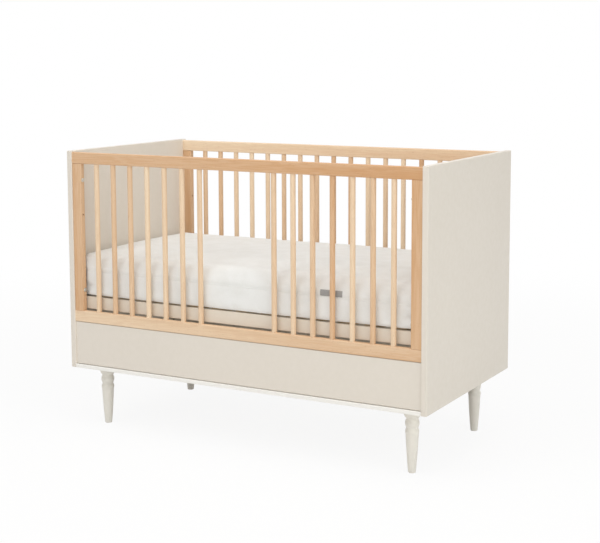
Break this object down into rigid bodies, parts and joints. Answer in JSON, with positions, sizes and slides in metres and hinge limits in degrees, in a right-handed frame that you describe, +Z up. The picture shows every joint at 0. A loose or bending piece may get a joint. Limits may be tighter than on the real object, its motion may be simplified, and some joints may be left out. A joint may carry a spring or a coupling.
{
  "type": "baby crib",
  "caption": "Baby crib with painted end panels, beech bar gates with an escape gap in front, turned legs and a slatted base with its mattress.",
  "frame": {"origin": "on the floor, under the centre of the crib", "axes": "+X along the crib to the right seen from the front, +Y to the back, +Z up; the gate with the escape gap faces -Y"},
  "size_m": [1.24, 0.645, 0.889],
  "materials": {
    "ecru_lacquer": "satin ecru lacquer on MDF and turned wood",
    "oiled_beech": "matt clear oil on light beech",
    "birch_slats": "unfinished, sanded",
    "zinc_plated_steel": "bright zinc plated",
    "mattress_cover": "quilted off-white cotton jersey"
  },
  "bodies": {
    "frame": {"back_apron": "ecru_lacquer", "back_bar_01": "oiled_beech", "back_bar_02": "oiled_beech", "back_bar_03": "oiled_beech", "back_bar_04": "oiled_beech", "back_bar_05": "oiled_beech", "back_bar_06": "oiled_beech", "back_bar_07": "oiled_beech", "back_bar_08": "oiled_beech", "back_bar_09": "oiled_beech", "back_bar_10": "oiled_beech", "back_bar_11": "oiled_beech", "back_bar_12": "oiled_beech", "back_bar_13": "oiled_beech", "back_bar_14": "oiled_beech", "back_bar_15": "oiled_beech", "back_bar_16": "oiled_beech", "back_bar_17": "oiled_beech", "back_bottom_rail": "oiled_beech", "back_left_leg": "ecru_lacquer", "back_left_stile": "oiled_beech", "back_leg_board": "ecru_lacquer", "back_right_leg": "ecru_lacquer", "back_right_stile": "oiled_beech", "back_top_rail": "oiled_beech", "board_dowels": "oiled_beech", "front_apron": "ecru_lacquer", "front_bar_01": "oiled_beech", "front_bar_02": "oiled_beech", "front_bar_03": "oiled_beech", "front_bar_04": "oiled_beech", "front_bar_05": "oiled_beech", "front_bar_06": "oiled_beech", "front_bar_07": "oiled_beech", "front_bar_11": "oiled_beech", "front_bar_12": "oiled_beech", "front_bar_13": "oiled_beech", "front_bar_14": "oiled_beech", "front_bar_15": "oiled_beech", "front_bar_16": "oiled_beech", "front_bar_17": "oiled_beech", "front_bottom_rail": "oiled_beech", "front_left_leg": "ecru_lacquer", "front_left_stile": "oiled_beech", "front_leg_board": "ecru_lacquer", "front_right_leg": "ecru_lacquer", "front_right_stile": "oiled_beech", "front_top_rail": "oiled_beech", "gate_bolts": "zinc_plated_steel", "left_end_panel": "ecru_lacquer", "leg_bolts": "zinc_plated_steel", "leg_nuts": "zinc_plated_steel", "panel_inserts": "zinc_plated_steel", "right_end_panel": "ecru_lacquer"},
    "mattress_base": {"base_front_rail": "ecru_lacquer", "base_back_rail": "ecru_lacquer", "base_end_rails": "ecru_lacquer", "base_slats": "birch_slats", "base_bolts": "zinc_plated_steel"},
    "mattress": {"mattress": "mattress_cover"}
  },
  "joints": [
    {"name": "base_height", "type": "slide", "parent": "frame", "child": "mattress_base", "axis": [0, 0, 1], "range_m": [-0.15, 0.15]},
    {"name": "mattress_lift", "type": "slide", "parent": "mattress_base", "child": "mattress", "axis": [0, 0, 1], "range_m": [0, 0.6]}
  ]
}
